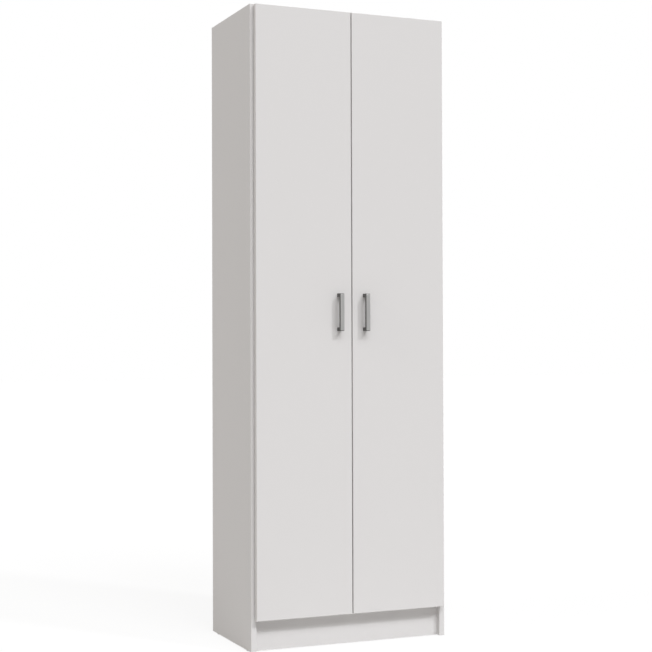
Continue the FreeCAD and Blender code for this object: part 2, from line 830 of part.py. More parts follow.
rail_cap = new_body("rail_cap")
sketch = sketch_on(rail_cap, "XZ_Plane")
oval(sketch, "plug_thick", "plug_tall")
pad(rail_cap, sketch, "rail_cap_plug", reverse=True)
sketch = sketch_on(rail_cap, "XZ_Plane")
oval(sketch, "rail_thick", "rail_tall")
cap_pad = pad(rail_cap, sketch, "rail_cap")
soften("Fillet", rail_cap, cap_pad, [face_towards(cap_pad, -BACKWARD)], "rail_cap_round")
copies("rail_end_caps", rail_cap, [
    ("0", "rail_front", "rail_height"),
    ("0", "rail_front + rail_length", "rail_height", HALF_TURN),
])

bracket = new_body("rail_bracket")
sketch = sketch_on(bracket, "XZ_Plane")
outline(sketch, [
    ("-ring_half", "-ring_flat"),
    ("ring_half", "-ring_flat"),
    ("ring_half", "bracket_under"),
    ("bracket_width / 2", "bracket_under"),
    ("bracket_width / 2", "rail_drop"),
    ("-bracket_width / 2", "rail_drop"),
    ("-bracket_width / 2", "bracket_under"),
    ("-ring_half", "bracket_under"),
], {0: ("0", "-ring_flat")})
bracket_pad = pad(bracket, sketch, "bracket_depth", reverse=True)
ring_side = at("ring_half")
under = at("bracket_under")
webs = edges_along(bracket_pad, BACKWARD, lambda spot: ring_side(abs(spot.x)) and under(spot.z))
bracket_webs = soften("Fillet", bracket, bracket_pad, webs, "bracket_web_radius")
flange_end = at("bracket_width / 2")
corners = edges_along(bracket_webs, UPWARD, lambda spot: flange_end(abs(spot.x)))
soften("Fillet", bracket, bracket_webs, corners, "bracket_corner")
sketch = sketch_on(bracket, "XZ_Plane")
oval(sketch, "ring_thick", "ring_tall")
pocket(bracket, sketch, "bracket_depth")
sketch = sketch_on(bracket, "XY_Plane", "rail_drop")
circles(sketch, "screw_hole_radius", [
    (sign + "bracket_screw_spread / 2", "bracket_depth / 2") for sign in BOTH_SIGNS
])
pocket(bracket, sketch, "bracket_wall")
bracket_lines = ("bracket_front", "bracket_rear")
copies("rail_brackets", bracket, [("0", line, "rail_height") for line in bracket_lines])


def screw(name, length, kind="screw"):
    """A pointed screw along X with a domed head seated at the origin; kind starts the names of its sizes."""
    head = "-%s_head" % kind
    return turned(name, [
        (head, "0"),
        (length, "0"),
        ("%s - %s_point" % (length, kind), kind + "_radius"),
        ("0", kind + "_radius"),
        ("0", kind + "_head_radius"),
        (head, kind + "_crown_radius"),
    ])


rising_screw = screw("rising_screw", "bracket_screw_length")
copies("rail_bracket_screws", rising_screw, [
    (sign + "bracket_screw_spread / 2", line + " + bracket_depth / 2", "hat_shelf_height - bracket_wall",
     POINTING["up"])
    for line in bracket_lines for sign in BOTH_SIGNS
])
sketch = sketch_on(hat_shelf, "XY_Plane")
circles(sketch, "screw_hole_radius", [
    ("inner_width / 2 %s bracket_screw_spread / 2" % sign, line + " - front + bracket_depth / 2")
    for line in bracket_lines for sign in BOTH_SIGNS
])
pocket(hat_shelf, sketch, "bracket_screw_length - bracket_wall + screw_hole_spare", reverse=True)

# Angles that fix the top panel to a wall
angle = new_body("wall_angle")
sketch = sketch_on(angle, "YZ_Plane")
outline(sketch, [
    ("-wall_angle_reach", "-wall_angle_plate"),
    ("-wall_angle_plate", "-wall_angle_plate"),
    ("-wall_angle_plate", "-wall_angle_drop"),
    ("0", "-wall_angle_drop"),
    ("0", "0"),
    ("-wall_angle_reach", "0"),
])
angle_pad = pad(angle, sketch, "wall_angle_width", midplane=True)
inner_bend = at("-wall_angle_plate")
bend = edges_along(angle_pad, ACROSS, lambda spot: inner_bend(spot.y) and inner_bend(spot.z))
angle_inner = soften("Fillet", angle, angle_pad, bend, "wall_angle_bend")
outer_bend = at("0")
bend = edges_along(angle_inner, ACROSS, lambda spot: outer_bend(spot.y) and outer_bend(spot.z))
angle_outer = soften("Fillet", angle, angle_inner, bend, "wall_angle_bend + wall_angle_plate")
leaf_end = at("-wall_angle_reach")
leaf_foot = at("-wall_angle_drop")
corners = edges_along(angle_outer, UPWARD, lambda spot: leaf_end(spot.y))
corners += edges_along(angle_outer, BACKWARD, lambda spot: leaf_foot(spot.z))
soften("Fillet", angle, angle_outer, corners, "wall_angle_corner")
sketch = sketch_on(angle, "XZ_Plane", "wall_angle_plate")
circles(sketch, "wall_hole_radius", [("0", "-wall_hole_drop")])
pocket(angle, sketch, "wall_angle_plate")
sketch = sketch_on(angle, "XY_Plane")
circles(sketch, "screw_hole_radius", [
    (sign + "wall_screw_spread / 2", "-wall_angle_reach / 2") for sign in BOTH_SIGNS
])
pocket(angle, sketch, "wall_angle_plate")
angle_columns = ("-wall_angle_offset", "wall_angle_offset")
copies("wall_angles", angle, [(column, "front + panel_depth", "top_height") for column in angle_columns])

screw_line = "panel_depth - wall_angle_reach / 2"
screw_columns = [
    "%s %s wall_screw_spread / 2" % (column, sign) for column in angle_columns for sign in BOTH_SIGNS
]
copies("wall_angle_screws", rising_screw, [
    (column, "front + " + screw_line, "top_height - wall_angle_plate", POINTING["up"])
    for column in screw_columns
])
sketch = sketch_on(top_panel, "XY_Plane")
screw_bores = [("inner_width / 2 + " + column, screw_line) for column in screw_columns]
circles(sketch, "screw_hole_radius", screw_bores)
pocket(top_panel, sketch, "bracket_screw_length - wall_angle_plate + screw_hole_spare", reverse=True)

# Left door; the right door is its mirror image
door = node_body("door_left", ("door_left", "door_front", "door_bottom_height"))
sketch = sketch_on(door, "XZ_Plane")
rectangle(sketch, ("0", "0"), ("door_width", "door_height"))
door_pad = pad(door, sketch, "door_board", reverse=True)
faces = [face_towards(door_pad, way) for way in (-BACKWARD, BACKWARD)]
soften("Fillet", door, door_pad, faces, "door_edge_radius")

door_levels = [level + " - door_bottom_height" for level in HINGE_LEVELS]
sketch = sketch_on(door, "XZ_Plane", "-door_board")
circles(sketch, "cup_bore_radius", [("cup_inset", level) for level in door_levels])
pocket(door, sketch, "cup_depth", reverse=True)
sketch = sketch_on(door, "XZ_Plane", "-door_board")
circles(sketch, "screw_hole_radius", [
    ("cup_inset + cup_screw_offset", "%s %s cup_screw_spread / 2" % (level, sign))
    for level in door_levels for sign in BOTH_SIGNS
])
pocket(door, sketch, "cup_screw_length - cup_flange + screw_hole_spare", reverse=True)
sketch = sketch_on(door, "XZ_Plane", "-door_board")
circles(sketch, "handle_hole_radius", [
    ("door_width - handle_edge_distance", "door_height / 2 %s handle_centres / 2" % sign)
    for sign in BOTH_SIGNS
])
pocket(door, sketch, "door_board", reverse=True)
mirror("door_right", door)

# Bow handles
handle = node_body("handle_left", ("handle_x", "door_front", "handle_height"))
sketch = sketch_on(handle, "YZ_Plane")
outline(sketch, [
    ("-handle_projection", "-handle_half"),
    ("0", "-handle_half"),
    ("0", "-handle_inside"),
    ("-handle_space", "-handle_inside"),
    ("-handle_space", "handle_inside"),
    ("0", "handle_inside"),
    ("0", "handle_half"),
    ("-handle_projection", "handle_half"),
])
handle_pad = pad(handle, sketch, "handle_width", midplane=True)
bar_front = at("-handle_projection")
bar_back = at("-handle_space")
outer = edges_along(handle_pad, ACROSS, lambda spot: bar_front(spot.y))
bow_outer = soften("Fillet", handle, handle_pad, outer, "handle_corner_radius")
inner = edges_along(bow_outer, ACROSS, lambda spot: bar_back(spot.y))
bow_inner = soften("Fillet", handle, bow_outer, inner, "handle_inner_radius")
soften("Fillet", handle, bow_inner, [face_towards(bow_inner, -BACKWARD)], "handle_edge_radius")
sketch = sketch_on(handle, "XZ_Plane")
circles(sketch, "handle_screw_radius + handle_screw_clearance", [
    ("0", sign + "handle_centres / 2") for sign in BOTH_SIGNS
])
pocket(handle, sketch, "handle_screw_bite + handle_screw_spare", reverse=True)
mirror("handle_right", handle)

handle_screw = screw("handle_screw", "door_board + handle_screw_bite", "handle_screw")
handle_screws = copies("handle_screws_left", handle_screw, [
    ("handle_x", "door_back", "handle_height %s handle_centres / 2" % sign, POINTING["front"])
    for sign in BOTH_SIGNS
])
mirror("handle_screws_right", handle_screws)

# Buffers that meet the top and bottom panel edges
buffer = turned("buffer", [
    ("0", "0"),
    ("buffer_height", "0"),
    ("buffer_height", "buffer_radius - buffer_crown"),
    ("buffer_height - buffer_crown", "buffer_radius"),
    ("0", "buffer_radius"),
])
buffers = copies("door_buffers_left", buffer, [
    ("door_left + door_width - buffer_inset", "door_back", level, POINTING["rear"])
    for level in ("plinth_top + board / 2", "top_height + board / 2")
])
mirror("door_buffers_right", buffers)

# Hinge cup; two cheeks left standing in its hollow carry the pin
cup = new_body("hinge_cup", ("cup_x", "door_back", "0"))
sketch = sketch_on(cup, "XY_Plane")
outline(sketch, [
    ("0", "-cup_depth"),
    ("cup_radius - cup_bevel", "-cup_depth"),
    ("cup_radius", "cup_bevel - cup_depth"),
    ("cup_radius", "0"),
    ("0", "0"),
])
turn(cup, sketch, "V_Axis")
flange_left = "cup_flange_start - cup_inset"
flange_right = "cup_radius + cup_rim"
ear_left = "cup_screw_offset - cup_ear_radius"
ear_right = "cup_screw_offset + cup_ear_radius"
ear_low = "-cup_screw_spread / 2"
ear_high = "cup_screw_spread / 2"
sketch = sketch_on(cup, "XZ_Plane")
outline(sketch, [
    (flange_left, "-cup_flange_side"),
    (ear_left, ear_low),
    (ear_right, ear_low),
    (flange_right, "-cup_flange_end"),
    (flange_right, "cup_flange_end"),
    (ear_right, ear_high),
    (ear_left, ear_high),
    (flange_left, "cup_flange_side"),
], {1: ("cup_screw_offset", ear_low), 5: ("cup_screw_offset", ear_high)})
pad(cup, sketch, "cup_flange", reverse=True)
sketch = sketch_on(cup, "XZ_Plane", "-cup_flange")
circles(sketch, "cup_hollow_radius", [("0", "0")])
pocket(cup, sketch, "cup_flange + cheek_top_depth", reverse=True)
sketch = sketch_on(cup, "XZ_Plane", "-cup_flange")
outline(sketch, [
    ("wall_at_outer", "-cheek_outer"),
    ("wall_at_outer", "cheek_outer"),
    ("cheek_side", "cheek_outer"),
    ("cheek_side", "cheek_inner"),
    ("wall_at_inner", "cheek_inner"),
    ("wall_at_inner", "-cheek_inner"),
    ("cheek_side", "-cheek_inner"),
    ("cheek_side", "-cheek_outer"),
], {0: ("0", "0"), 4: ("0", "0")})
pocket(cup, sketch, "cup_flange + cup_depth - cup_floor", reverse=True)
sketch = sketch_on(cup, "XY_Plane")
circles(sketch, "pivot_pin_radius + pivot_press_clearance", [("cup_pin_x", "-pivot_depth")])
pocket(cup, sketch, "pivot_pin_length", midplane=True)
sketch = sketch_on(cup, "XZ_Plane", "-cup_flange")
circles(sketch, "screw_hole_radius", [("cup_screw_offset", ear_low), ("cup_screw_offset", ear_high)])
pocket(cup, sketch, "cup_flange", reverse=True)

pivot_pin = turned("pivot_pin", [
    ("-pivot_pin_length / 2", "0"),
    ("pivot_pin_length / 2", "0"),
    ("pivot_pin_length / 2", "pivot_pin_radius"),
    ("-pivot_pin_length / 2", "pivot_pin_radius"),
])

# Hinge arm: a hooked strip with an eye for the pin, and a channel that lies on the plate
arm = new_body("hinge_arm", ("inner_left", "front", "0"))
hook_front = "hook_y - hook_plate / 2"
hook_rear = "hook_y + hook_plate / 2"
sketch = sketch_on(arm, "XY_Plane")
outline(sketch, [
    ("hook_x", hook_front),
    ("arm_rise", hook_front),
    ("arm_rise", "arm_start + hook_plate"),
    ("arm_under", "arm_start + hook_plate"),
    ("arm_under", hook_rear),
    ("hook_x", hook_rear),
])
arm_strip = pad(arm, sketch, "hook_width", midplane=True)
arm_top = at("arm_rise")
arm_below = at("arm_under")
strip_front = at(hook_front)
strip_rear = at(hook_rear)
bend = edges_along(arm_strip, UPWARD, lambda spot: arm_top(spot.x) and strip_front(spot.y))
arm_strip = soften("Fillet", arm, arm_strip, bend, "hook_bend + hook_plate")
bend = edges_along(arm_strip, UPWARD, lambda spot: arm_below(spot.x) and strip_rear(spot.y))
soften("Fillet", arm, arm_strip, bend, "hook_bend")
sketch = sketch_on(arm, "XY_Plane")
circles(sketch, "eye_radius", [("hook_x", "hook_y")])
pad(arm, sketch, "hook_width", midplane=True)

cheek_out = "arm_width / 2"
cheek_in = "arm_width / 2 - arm_cheek"
sketch = sketch_on(arm, "XZ_Plane", "-arm_start")
outline(sketch, [
    ("plate_spine", "-(%s)" % cheek_out),
    ("arm_rise", "-(%s)" % cheek_out),
    ("arm_rise", cheek_out),
    ("plate_spine", cheek_out),
    ("plate_spine", cheek_in),
    ("arm_under", cheek_in),
    ("arm_under", "-(%s)" % cheek_in),
    ("plate_spine", "-(%s)" % cheek_in),
])
channel = pad(arm, sketch, "arm_end - arm_start", reverse=True)
cheek_side = at(cheek_out)
ridges = edges_along(channel, BACKWARD, lambda spot: arm_top(spot.x) and cheek_side(abs(spot.z)))
channel = soften("Fillet", arm, channel, ridges, "arm_round")
cheek_foot = at("plate_spine")
cheek_nose = at("arm_start")
noses = edges_along(channel, UPWARD, lambda spot: cheek_foot(spot.x) and cheek_nose(spot.y))
soften("Chamfer", arm, channel, noses, "arm_taper")

sketch = sketch_on(arm, "XY_Plane")
circles(sketch, "pivot_pin_radius + pivot_clearance", [("hook_x", "hook_y")])
pocket(arm, sketch, "hook_width", midplane=True)
sketch = sketch_on(arm, "YZ_Plane", "arm_rise")
oval(sketch, "2 * arm_slot_radius", "arm_slot_length", ("arm_screw_line", "0"), upright=False)
circles(sketch, "adjust_radius + screw_clearance", [("adjust_line", "0")])
pocket(arm, sketch, "hook_plate")

# Hinge plate: two rounded wings and a spine
plate = new_body("hinge_plate", ("inner_left", "front", "0"))
sketch = sketch_on(plate, "YZ_Plane")
oval(sketch, "plate_wing_width", "plate_wing_height", ("plate_line", "0"))
pad(plate, sketch, "plate_base")
sketch = sketch_on(plate, "YZ_Plane")
rectangle(sketch, ("plate_spine_start", "-plate_spine_width / 2"), ("arm_end", "plate_spine_width / 2"))
spine = pad(plate, sketch, "plate_spine")
spine_side = at("plate_spine_width / 2")
spine_ends = (at("plate_spine_start"), at("arm_end"))
corners = edges_along(
    spine, ACROSS, lambda spot: spine_side(abs(spot.z)) and any(end(spot.y) for end in spine_ends))
soften("Fillet", plate, spine, corners, "plate_spine_round")
sketch = sketch_on(plate, "YZ_Plane", "plate_base")
circles(sketch, "screw_hole_radius", [
    ("plate_line", sign + "plate_screw_spread / 2") for sign in BOTH_SIGNS
])
pocket(plate, sketch, "plate_base")
sketch = sketch_on(plate, "YZ_Plane", "plate_spine")
circles(sketch, "arm_slot_radius", [("arm_screw_line", "0")])
pocket(plate, sketch, "plate_spine")

# Hinge screws
cup_screw = screw("cup_screw", "cup_screw_length")
plate_screw = screw("plate_screw", "plate_screw_length")
arm_screw = screw("arm_screw", "arm_rise - screw_hole_spare", "arm_screw")
adjust_screw = turned("adjust_screw", [
    ("-adjust_proud", "0"),
    ("adjust_end", "0"),
    ("adjust_end", "adjust_radius"),
    ("adjust_chamfer - adjust_proud", "adjust_radius"),
    ("-adjust_proud", "adjust_radius - adjust_chamfer"),
])

hinge_levels = [("0", "0", level) for level in HINGE_LEVELS]
hinge_groups = [
    copies("hinge_cups_left", cup, hinge_levels),
    copies("hinge_pins_left", pivot_pin, [
        ("pivot_x", "pivot_y", level, POINTING["up"]) for level in HINGE_LEVELS
    ]),
    copies("hinge_arms_left", arm, hinge_levels),
    copies("hinge_plates_left", plate, hinge_levels),
    copies("hinge_arm_screws_left", arm_screw, [
        ("inner_left + arm_rise", "front + arm_screw_line", level, POINTING["left"])
        for level in HINGE_LEVELS
    ]),
    copies("hinge_adjust_screws_left", adjust_screw, [
        ("inner_left + arm_rise", "front + adjust_line", level, POINTING["left"])
        for level in HINGE_LEVELS
    ]),
    copies("hinge_cup_screws_left", cup_screw, [
        ("cup_screw_x", "door_back + cup_flange", "%s %s cup_screw_spread / 2" % (level, sign),
         POINTING["front"])
        for level in HINGE_LEVELS for sign in BOTH_SIGNS
    ]),
    copies("hinge_plate_screws_left", plate_screw, [
        ("inner_left + plate_base", "front + plate_line", "%s %s plate_screw_spread / 2" % (level, sign),
         POINTING["left"])
        for level in HINGE_LEVELS for sign in BOTH_SIGNS
    ]),
]
for group in hinge_groups:
    mirror(group.Label.replace("_left", "_right"), group)

doc.recompute()

faults = [item.Label for item in doc.Objects if {"Invalid", "Error"} & set(item.State)]
if faults:
    raise RuntimeError("objects in error: " + ", ".join(faults))
for item in nodes:
    if item.Shape.isNull() or not item.Shape.Solids or not item.Shape.isValid():
        raise RuntimeError("no valid solid in " + item.Label)

os.makedirs("parts", exist_ok=True)
for item in nodes:
    item.Shape.exportStep("parts/%s.step" % item.Label)
    print("%-26s solids %3d  volume %12.1f" % (item.Label, len(item.Shape.Solids), item.Shape.Volume))
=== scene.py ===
import json
import math
import bmesh
import bpy
from mathutils import Matrix, Vector

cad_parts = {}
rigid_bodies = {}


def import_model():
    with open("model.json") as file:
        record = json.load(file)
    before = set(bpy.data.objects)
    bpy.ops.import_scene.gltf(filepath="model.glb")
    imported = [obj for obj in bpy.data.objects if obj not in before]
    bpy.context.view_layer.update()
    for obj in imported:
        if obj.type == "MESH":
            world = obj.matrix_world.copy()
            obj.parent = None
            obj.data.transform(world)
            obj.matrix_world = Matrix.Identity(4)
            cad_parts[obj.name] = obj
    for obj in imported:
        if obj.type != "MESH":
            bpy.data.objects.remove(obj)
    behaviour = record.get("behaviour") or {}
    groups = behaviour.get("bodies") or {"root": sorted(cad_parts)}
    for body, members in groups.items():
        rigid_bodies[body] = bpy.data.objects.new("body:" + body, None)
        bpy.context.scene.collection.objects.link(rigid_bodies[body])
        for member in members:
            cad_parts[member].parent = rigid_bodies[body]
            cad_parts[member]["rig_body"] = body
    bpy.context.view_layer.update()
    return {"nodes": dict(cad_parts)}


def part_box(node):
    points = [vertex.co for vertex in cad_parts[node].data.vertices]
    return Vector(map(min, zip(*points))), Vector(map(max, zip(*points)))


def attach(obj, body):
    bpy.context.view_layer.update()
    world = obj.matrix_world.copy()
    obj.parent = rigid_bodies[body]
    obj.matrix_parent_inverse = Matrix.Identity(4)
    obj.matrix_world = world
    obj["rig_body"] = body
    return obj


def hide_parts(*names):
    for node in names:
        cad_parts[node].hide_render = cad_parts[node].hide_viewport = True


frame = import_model()
nodes = frame["nodes"]
mm = 0.001
print("frame loaded:", len(nodes), "nodes")


# Shader wiring

class Wire:  # one socket of a node tree; sums on it add Math nodes
    def __init__(self, tree, socket=None):
        self.tree = tree
        self.socket = socket

    def node(self, kind, settings, sockets, out=0):
        made = self.tree.nodes.new("ShaderNode" + kind)
        for key, setting in settings.items():
            if key == "stops":
                fillRamp(made.color_ramp, setting)
            else:
                setattr(made, key, setting)
        for key, given in sockets.items():
            if isinstance(given, Wire):
                self.tree.links.new(given.socket, made.inputs[key])
            else:
                made.inputs[key].default_value = given
        return Wire(self.tree, made.outputs[out])

    def maths(self, operation, first, second):
        return self.node("Math", {"operation": operation}, {0: first, 1: second})

    def __add__(self, other):
        return self.maths("ADD", self, other)

    def __radd__(self, other):
        return self.maths("ADD", other, self)

    def __sub__(self, other):
        return self.maths("SUBTRACT", self, other)

    def __rsub__(self, other):
        return self.maths("SUBTRACT", other, self)

    def __mul__(self, other):
        return self.maths("MULTIPLY", self, other)

    def __rmul__(self, other):
        return self.maths("MULTIPLY", other, self)

    def __gt__(self, other):
        return self.maths("GREATER_THAN", self, other)

    def __lt__(self, other):
        return self.maths("LESS_THAN", self, other)


def fillRamp(ramp, stops):
    while len(ramp.elements) < len(stops):
        ramp.elements.new(0.5)  # each goes to its own place below
    for element, (position, colour) in zip(ramp.elements, stops):
        element.position = position
        element.color = colour


def newMaterial(name):
    material = bpy.data.materials.new(name)
    material.use_nodes = True
    material.node_tree.nodes.clear()
    return material, Wire(material.node_tree)


def surface(wire, shader, kind="Material"):
    output = wire.tree.nodes.new("ShaderNodeOutput" + kind)
    wire.tree.links.new(shader.socket, output.inputs["Surface"])


def principled(wire, sockets):
    surface(wire, wire.node("BsdfPrincipled", {}, sockets))


def objectPlace(wire, stretch=(1, 1, 1)):  # where a point lies on its piece, in metres
    place = wire.node("TexCoord", {}, {}, "Object")
    return wire.node("Mapping", {}, {"Vector": place, "Scale": stretch})


def noise(wire, place, scale, detail):
    return wire.node("TexNoise", {}, {"Vector": place, "Scale": scale, "Detail": detail})


def swing(pattern, width):  # noise lies about 0.5, so this goes as far up as down
    return (pattern - 0.5) * width


def tint(wire, mask, first, second):  # first where the mask is 0, second where it is 1
    return wire.node("Mix", {"data_type": "RGBA"}, {0: mask, 6: first, 7: second}, 2)  # colour sockets


def bump(wire, height, strength, distance):
    return wire.node("Bump", {}, {"Height": height, "Strength": strength, "Distance": distance})


def dress(name, material):  # a carried-over node keeps its mesh and gets a new finish
    for slot in nodes[name].material_slots:
        slot.link = "OBJECT"
        slot.material = material


# Camera at the photo's standpoint

view = {
    "place": (-1.65846, -3.8742, 0.84955),
    "turn": 23.034,  # degrees to the right of straight on
    "tilt": 0.784,  # degrees up from level
    "roll": -0.1802,
    "lens": 79.066,
    "sensor": 36.0,
}

lens = bpy.data.cameras.new("camera")
lens.lens = view["lens"]
lens.sensor_width = view["sensor"]
camera = bpy.data.objects.new("camera", lens)
bpy.context.scene.collection.objects.link(camera)
aim = Matrix.Rotation(math.radians(-view["turn"]), 4, "Z")
aim = aim @ Matrix.Rotation(math.radians(90 + view["tilt"]), 4, "X")  # an unturned camera looks down
aim = aim @ Matrix.Rotation(math.radians(view["roll"]), 4, "Z")
camera.matrix_world = Matrix.Translation(view["place"]) @ aim
bpy.context.scene.camera = camera
print("camera set")


# Studio: pale floor, soft sky, three front lamps at one height and a warm one on the left

coolLight = (0.965, 0.975, 1.0)
warmLight = (1.0, 0.93, 0.85)
studio = {
    "sky": 0.31,
    "skyTint": (1.0, 0.965, 0.935, 1),
    "seen": (1, 1, 1, 1),  # sky and floor glow where they are looked at
    "seenLevel": 1.0,
    "lamps": {  # where each shines from, its strength, its colour and its breadth in degrees
        "right_lamp": ((0.7, -1.0, 1.15), 0.96, coolLight, 5.0),  # small, for the handles' crisp shadows
        "front_lamp": ((0.12, -1.0, 1.15), 1.02, coolLight, 22.0),
        "camera_lamp": ((-0.4, -1.0, 1.15), 0.52, coolLight, 22.0),
        "side_lamp": ((-1.0, -0.15, 0.6), 0.39, warmLight, 12.0),
    },
    "floorSize": 30.0,
    "floor": (0.63, 0.62, 0.61, 1),
    "floorSeen": (1.15, 1.15, 1.15, 1),
    "floorGlow": 0.88,  # how much of the seen floor is plain white
}


def seenRays(wire):  # 1 for rays that look at the studio itself
    looks = wire.node("LightPath", {}, {}, "Is Camera Ray")
    for ray in ("Is Glossy Ray", "Is Transmission Ray"):
        looks = wire.maths("MAXIMUM", looks, wire.node("LightPath", {}, {}, ray))
    return looks


world = bpy.data.worlds.new("studio")
bpy.context.scene.world = world
world.use_nodes = True
world.node_tree.nodes.clear()
wire = Wire(world.node_tree)
looks = seenRays(wire)
level = studio["sky"] + looks * (studio["seenLevel"] - studio["sky"])
sky = tint(wire, looks, studio["skyTint"], studio["seen"])
surface(wire, wire.node("Background", {}, {"Color": sky, "Strength": level}), "World")

for name, (shinesFrom, strength, colour, breadth) in studio["lamps"].items():
    lampData = bpy.data.lights.new(name, "SUN")
    lampData.energy = strength
    lampData.color = colour
    lampData.angle = math.radians(breadth)
    lamp = bpy.data.objects.new(name, lampData)
    lamp.rotation_euler = Vector(shinesFrom).to_track_quat("Z", "Y").to_euler()
    bpy.context.scene.collection.objects.link(lamp)

floorMaterial, wire = newMaterial("pale_floor")
looks = seenRays(wire)
paint = wire.node("BsdfDiffuse", {}, {"Color": tint(wire, looks, studio["floor"], studio["floorSeen"])})
glow = wire.node("Emission", {}, {"Color": studio["seen"], "Strength": studio["seenLevel"]})
surface(wire, wire.node("MixShader", {}, {0: looks * studio["floorGlow"], 1: paint, 2: glow}))
sheet = bmesh.new()
bmesh.ops.create_grid(sheet, x_segments=1, y_segments=1, size=studio["floorSize"])
floorMesh = bpy.data.meshes.new("studio_floor")
sheet.to_mesh(floorMesh)
sheet.free()
floorMesh.materials.append(floorMaterial)
floor = bpy.data.objects.new("studio_floor", floorMesh)
bpy.context.scene.collection.objects.link(floor)
bpy.context.scene.view_settings.view_transform = "Standard"
print("studio lit")


# White faced chipboard: foil on the faces, lipping on the edges that show, raw board elsewhere

board = {
    "white": (0.745, 0.735, 0.728, 1),
    "whiteDrift": (0.735, 0.724, 0.716, 1),
    "drift": 3.0,  # clouds per metre
    "driftDetail": 3.0,
    "roughness": 0.46,
    "roughnessDrift": 0.08,
    "specular": 0.35,
    "pearl": 1300,  # press pattern of the foil, bumps per metre
    "pearlDetail": 2.0,
    "pearlStrength": 0.3,
    "pearlDepth": 0.05 * mm,
    "foil": 0.25 * mm,
    "lipping": 1.3 * mm,
    "glueLine": 0.12 * mm,  # joint between the foil and the lipping
    "glue": (0.5, 0.485, 0.46, 1),
    "chips": 420,  # chips per metre
    "chipRoughness": 0.9,
    "chipStrength": 0.6,
    "chipDepth": 0.5 * mm,
    "chipStops": [
        (0.0, (0.16, 0.085, 0.04, 1)),
        (0.35, (0.36, 0.225, 0.12, 1)),
        (0.7, (0.52, 0.36, 0.21, 1)),
        (1.0, (0.68, 0.52, 0.34, 1)),
    ],
}

# Per panel: the axis across its thickness, then its lipped edges as axis and side
frontEdge = (1, -1)
topEdge = (2, 1)
allRound = [(0, -1), (0, 1), (2, -1), (2, 1)]
boardPanels = {
    "side_panel_left": (0, [frontEdge, topEdge]),
    "side_panel_right": (0, [frontEdge, topEdge]),
    "top_panel": (2, [frontEdge]),
    "hat_shelf": (2, [frontEdge]),
    "bottom_panel": (2, [frontEdge]),
    "shoe_shelf_lower": (2, [frontEdge]),
    "shoe_shelf_upper": (2, [frontEdge]),
    "plinth_board": (1, [topEdge]),
    "door_left": (1, allRound),
    "door_right": (1, allRound),
}


def boardFinish(name, across, lipped):
    low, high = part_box(name)
    material, wire = newMaterial(name + "_white")
    place = objectPlace(wire)
    along = [wire.node("SeparateXYZ", {}, {"Vector": place}, axis) for axis in "XYZ"]
    raw = (along[across] > low[across] + board["foil"]) * (along[across] < high[across] - board["foil"])
    joint = 0.0
    for axis, side in lipped:
        inward = along[axis] - low[axis] if side < 0 else high[axis] - along[axis]
        raw = raw * (inward > board["lipping"])
        glue = (inward > board["lipping"]) * (inward < board["lipping"] + board["glueLine"])
        joint = wire.maths("MAXIMUM", joint, glue)
    drift = noise(wire, place, board["drift"], board["driftDetail"])
    white = tint(wire, joint, tint(wire, drift, board["whiteDrift"], board["white"]), board["glue"])
    chipCell = wire.node("TexVoronoi", {}, {"Vector": place, "Scale": board["chips"]}, "Color")
    chipShade = wire.node("SeparateColor", {}, {"Color": chipCell})
    chips = wire.node("ValToRGB", {"stops": board["chipStops"]}, {"Fac": chipShade})
    roughness = board["roughness"] + swing(drift, board["roughnessDrift"])
    press = noise(wire, place, board["pearl"], board["pearlDetail"])
    pearl = bump(wire, press, board["pearlStrength"], board["pearlDepth"])
    crumbs = bump(wire, chipShade * raw, board["chipStrength"], board["chipDepth"])
    normal = wire.node("Mix", {"data_type": "VECTOR"}, {0: raw, 4: pearl, 5: crumbs}, 1)  # vector sockets
    principled(wire, {
        "Base Color": tint(wire, raw, white, chips),
        "Roughness": roughness + raw * (board["chipRoughness"] - roughness),
        "Normal": normal,
        "Specular IOR Level": board["specular"],
    })
    return material


for name, (across, lipped) in boardPanels.items():
    dress(name, boardFinish(name, across, lipped))
print("boards faced:", len(boardPanels))


# Back sheets: white print inside, raw brown fibre board behind

backing = {
    "white": (0.74, 0.732, 0.724, 1),
    "print": 0.2 * mm,  # how deep the white goes
    "roughness": 0.5,
    "specular": 0.3,
    "fibres": 900,  # per metre
    "fibreStretch": (1, 1, 0.35),
    "fibreDetail": 6.0,
    "fibreRoughness": 0.3,  # what the bare fibre adds
    "fibreStrength": 0.25,
    "fibreDepth": 0.2 * mm,
    "fibreStops": [
        (0.3, (0.13, 0.068, 0.034, 1)),
        (0.5, (0.24, 0.135, 0.068, 1)),
        (0.7, (0.33, 0.2, 0.108, 1)),
    ],
}


def backingFinish(name):
    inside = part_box(name)[0].y
    material, wire = newMaterial(name + "_fibre")
    depth = wire.node("SeparateXYZ", {}, {"Vector": objectPlace(wire)}, "Y")
    bare = depth > inside + backing["print"]
    fibrePlace = objectPlace(wire, backing["fibreStretch"])
    speck = noise(wire, fibrePlace, backing["fibres"], backing["fibreDetail"])
    fibres = wire.node("ValToRGB", {"stops": backing["fibreStops"]}, {"Fac": speck})
    principled(wire, {
        "Base Color": tint(wire, bare, backing["white"], fibres),
        "Roughness": backing["roughness"] + bare * (speck * backing["fibreRoughness"]),
        "Normal": bump(wire, speck, backing["fibreStrength"], backing["fibreDepth"]),
        "Specular IOR Level": backing["specular"],
    })
    return material


for name in ("back_panel_lower", "back_panel_upper"):
    dress(name, backingFinish(name))
print("back sheets finished")


# Metals, each with its own grain, and clouds that all of them share

